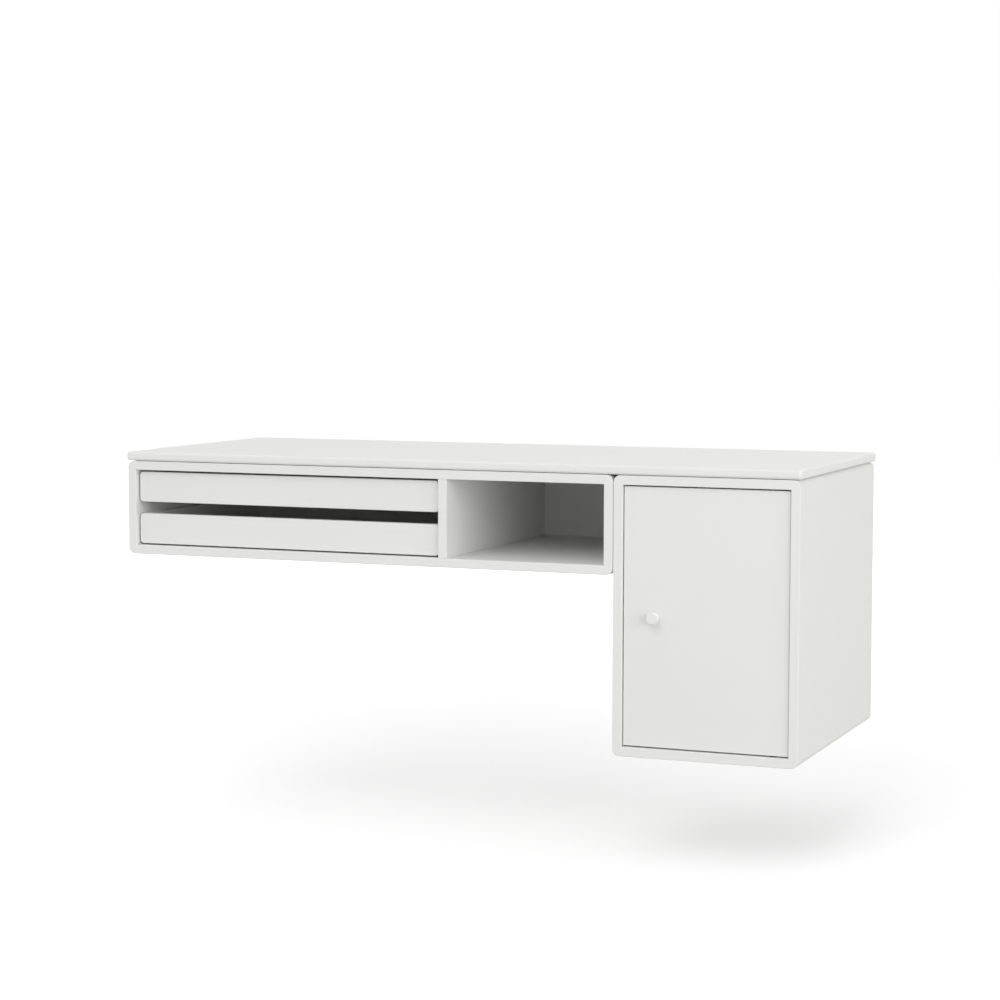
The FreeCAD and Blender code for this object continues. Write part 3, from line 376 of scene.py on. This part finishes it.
def zinc_sheet(name):
    """Zinc coated sheet: flat crystals of slightly different tone under the marks of rolling."""
    made = Finish(name, Metallic=METAL_WEIGHT)
    bent = noise(made.tree, made.place, RAGGED_SCALE, RAGGED_DETAIL)["Color"]
    ragged = vector_node(made.tree, "MULTIPLY", bent, RAGGED_REACH)
    moved = vector_node(made.tree, "ADD", made.place, ragged)
    _, pale, dull = cells(made.tree, moved, CRYSTAL_SCALE)
    lines = made.effect(STREAKS, Draw=ALONG_X, Scale=ZINC_LINE_SCALE)["Factor"]
    skin = made.effect(MOTTLE, Colour=ZINC, **ZINC_SKIN)
    tone = about_one(made.tree, pale, CRYSTAL_TONE_SPREAD)
    shade = about_one(made.tree, lines, ZINC_LINE_TONE_SPREAD)
    toned = shaded(made.tree, skin["Colour"], math_node(made.tree, "MULTIPLY", tone, shade))
    worn = about_one(made.tree, dull, CRYSTAL_GLOSS_SPREAD)
    rough = math_node(made.tree, "MULTIPLY", skin["Roughness"], worn)
    height = math_node(made.tree, "MULTIPLY_ADD", lines, ZINC_LINE_RISE, skin["Height"])
    return made.feed(toned, rough, height, ZINC_DEPTH)


def beech(name, along):
    """Plain hardwood: pale and darker grain along the piece, with short dark flecks."""
    made = Finish(name)
    grain = made.effect(STREAKS, Draw=along, Scale=BEECH_GRAIN_SCALE)["Factor"]
    tone = blended(made.tree, grain, BEECH_PALE, BEECH_DARK)
    shorter = tuple(BEECH_FLECK_SHARE + (1.0 - BEECH_FLECK_SHARE) * share for share in along)
    drawn = vector_node(made.tree, "MULTIPLY", made.place, shorter)
    flecks = made.effect(SPECKS, Place=drawn, **BEECH_FLECKS)["Mask"]
    marked = blended(made.tree, flecks, tone, BEECH_FLECK)
    skin = made.effect(MOTTLE, Colour=marked, **BEECH_SKIN)
    height = math_node(made.tree, "ADD", grain, skin["Height"])
    return made.feed(skin["Colour"], skin["Roughness"], height, BEECH_DEPTH)


def fibre_board(name):
    """Uncoated pressed board: matted fibres of two browns with dark flecks, and a soft nap."""
    made = Finish(name)
    fibres = made.effect(STREAKS, Draw=BOARD_FIBRE_DRAW, Scale=BOARD_FIBRE_SCALE)["Factor"]
    tone = blended(made.tree, fibres, BOARD_PALE, BOARD_BROWN)
    drawn = vector_node(made.tree, "MULTIPLY", made.place, BOARD_FLECK_DRAW)
    flecks = made.effect(SPECKS, Place=drawn, **BOARD_FLECKS)["Mask"]
    marked = blended(made.tree, flecks, tone, BOARD_FLECK)
    skin = made.effect(MOTTLE, Colour=marked, **BOARD_SKIN)
    height = math_node(made.tree, "ADD", fibres, skin["Height"])
    return made.feed(skin["Colour"], skin["Roughness"], height, BOARD_DEPTH)


def pressed_magnet(name):
    """Sintered magnet: a dark dull body with coarse grains that catch the light."""
    made = Finish(name)
    grains = made.effect(SPECKS, **MAGNET_GRAINS)["Mask"]
    tone = blended(made.tree, grains, FERRITE, FERRITE_GRAIN)
    skin = made.effect(MOTTLE, Colour=tone, **MAGNET_SKIN)
    height = math_node(made.tree, "ADD", grains, skin["Height"])
    return made.feed(skin["Colour"], skin["Roughness"], height, MAGNET_DEPTH)


FINISHES = {
    "white_lacquer": lacquer("white_lacquer", cloud=9.0, peel=320.0, gloss=0.64),
    "knob_lacquer": lacquer("knob_lacquer", cloud=45.0, peel=700.0, gloss=0.62),
    "raw_board": fibre_board("raw_board"),
    "beech": beech("beech", ALONG_Y),
    "folded_steel": zinc_sheet("folded_steel"),
    "plated_steel": drawn_metal("plated_steel", NICKEL, gloss=0.24, along=ALONG_X, tone=0.03),
    "screw_steel": drawn_metal("screw_steel", BRIGHT_ZINC, gloss=0.31, along=ALONG_Y, tone=0.05),
    "nylon": moulding(
        "nylon",
        NYLON,
        gloss=0.46,
        grain=850.0,
        depth=0.000010,
        Subsurface_Weight=0.08,
        Subsurface_Scale=0.002,
    ),
    "catch_plastic": moulding("catch_plastic", WHITE_PLASTIC, gloss=0.52, grain=1900.0, depth=0.000025),
    "magnet": pressed_magnet("magnet"),
    "spacer_film": moulding("spacer_film", WASHER, gloss=0.58, grain=700.0, depth=0.000012),
    "black_plastic": moulding("black_plastic", BLACK_PLASTIC, gloss=0.50, grain=1900.0, depth=0.000020),
    "black_steel": drawn_metal("black_steel", BLACK_STEEL, gloss=0.40, along=ALONG_Z, tone=0.06),
    "beech_across": beech("beech_across", ALONG_X),
    "beech_upright": beech("beech_upright", ALONG_Z),
}
DOWEL_GRAIN = {"batten_dowels": "beech_across", "divider_dowels": "beech_upright"}

for name, node in NODES.items():
    for holder in node.material_slots:
        holder.material = FINISHES[DOWEL_GRAIN.get(name, holder.material.name)]


# Room


def grey(tone):
    return (tone, tone, tone, 1.0)


def show_white(tree, plain, glow):
    """A mix that shows a glow to rays that see a backdrop and the plain shader to the rest."""
    path = add_node(tree, "ShaderNodeLightPath").outputs
    seen = math_node(tree, "MAXIMUM", path["Is Camera Ray"], path["Is Glossy Ray"])
    seen = math_node(tree, "MAXIMUM", seen, path["Is Transmission Ray"])
    return mixed_shader(tree, seen, plain, glow)


def light_world():
    world = bpy.data.worlds.new("studio")
    world.use_nodes = True
    bpy.context.scene.world = world
    tree = world.node_tree
    plain = tree.nodes["Background"]
    plain.inputs["Color"].default_value = WHITE
    plain.inputs["Strength"].default_value = AMBIENT
    backdrop = add_node(tree, "ShaderNodeBackground", {"Color": WHITE, "Strength": WHITE_STRENGTH})
    mixed = show_white(tree, plain.outputs[0], backdrop.outputs[0])
    tree.links.new(mixed, tree.nodes["World Output"].inputs["Surface"])


def floor_glow(tree):
    """A faint glow that grows away from the object, until the floor meets the white round it."""
    place = add_node(tree, "ShaderNodeTexCoord").outputs["Object"]
    away = add_node(tree, "ShaderNodeVectorMath", {"Vector": place}, operation="LENGTH")
    reach = {
        "Value": away.outputs["Value"],
        "From Min": FLOOR_NEAR_REACH,
        "From Max": FLOOR_FAR_REACH,
        "To Min": FLOOR_GLOW,
        "To Max": FLOOR_FAR_GLOW,
    }
    strength = add_node(tree, "ShaderNodeMapRange", reach, interpolation_type="SMOOTHSTEP")
    glow = {"Color": WHITE, "Strength": strength.outputs[0]}
    return add_node(tree, "ShaderNodeEmission", glow).outputs[0]


def floor_paint():
    """A pale floor that takes the shadow, shown white where nothing shades it and clear from below."""
    material = bpy.data.materials.new("pale_floor")
    material.use_nodes = True
    tree = material.node_tree
    tree.nodes.remove(tree.nodes["Principled BSDF"])
    plain = add_node(tree, "ShaderNodeBsdfDiffuse", {"Color": grey(FLOOR_TONE)}).outputs[0]
    matt = add_node(tree, "ShaderNodeBsdfDiffuse", {"Color": grey(FLOOR_SEEN_TONE)}).outputs[0]
    lit = add_node(tree, "ShaderNodeAddShader", {0: matt, 1: floor_glow(tree)}).outputs[0]
    above = show_white(tree, plain, lit)
    below = add_node(tree, "ShaderNodeBsdfTransparent").outputs[0]
    under = add_node(tree, "ShaderNodeNewGeometry").outputs["Backfacing"]
    mixed = mixed_shader(tree, under, above, below)
    tree.links.new(mixed, tree.nodes["Material Output"].inputs["Surface"])
    return material


def lay_floor():
    bpy.ops.object.select_all(action="DESELECT")
    bpy.ops.mesh.primitive_plane_add(size=FLOOR_SIDE, location=(0.0, 0.0, cad_low.z - FLOOR_DROP))
    floor = bpy.context.object
    floor.name = "floor"
    floor.data.materials.append(floor_paint())


def towards(turn, rise):
    """The way from the object to a lamp that stands to the right of the front and above level."""
    across = math.radians(turn)
    up = math.radians(rise)
    return Vector((math.sin(across) * math.cos(up), -math.cos(across) * math.cos(up), math.sin(up)))


def hang_lamp(lamp, way):
    holder = bpy.data.objects.new(lamp.name, lamp)
    bpy.context.collection.objects.link(holder)
    holder.location = (cad_low + cad_high) / 2 + way * LAMP_REACH
    holder.rotation_euler = (-way).to_track_quat("-Z", "Y").to_euler()
    holder.visible_camera = False


def hang_lamps():
    above = bpy.data.lights.new("lamp_above", "SUN")
    above.energy = ABOVE_STRENGTH
    above.angle = math.radians(ABOVE_SPREAD)
    hang_lamp(above, towards(ABOVE_TURN, ABOVE_RISE))
    for name, set_up in SOFTBOXES.items():
        box = bpy.data.lights.new(name, "AREA")
        box.shape = "RECTANGLE"
        box.size = set_up["width"]
        box.size_y = set_up["height"]
        box.energy = set_up["watts"]
        hang_lamp(box, towards(set_up["turn"], set_up["rise"]))


def turned(degrees, axis):
    """A turn about an axis, as a 4 by 4 matrix."""
    return Matrix.Rotation(math.radians(degrees), 4, axis)


def set_camera():
    lens = bpy.data.cameras.new("photo_view")
    lens.lens = CAMERA_LENS
    camera = bpy.data.objects.new("photo_view", lens)
    bpy.context.collection.objects.link(camera)
    aim = turned(CAMERA_TURN, "Z") @ turned(LEVEL_TILT - CAMERA_DIP, "X") @ turned(CAMERA_ROLL, "Z")
    camera.matrix_world = Matrix.Translation(CAMERA_PLACE) @ aim
    bpy.context.scene.camera = camera


light_world()
lay_floor()
hang_lamps()
set_camera()
bpy.context.scene.view_settings.view_transform = "Standard"
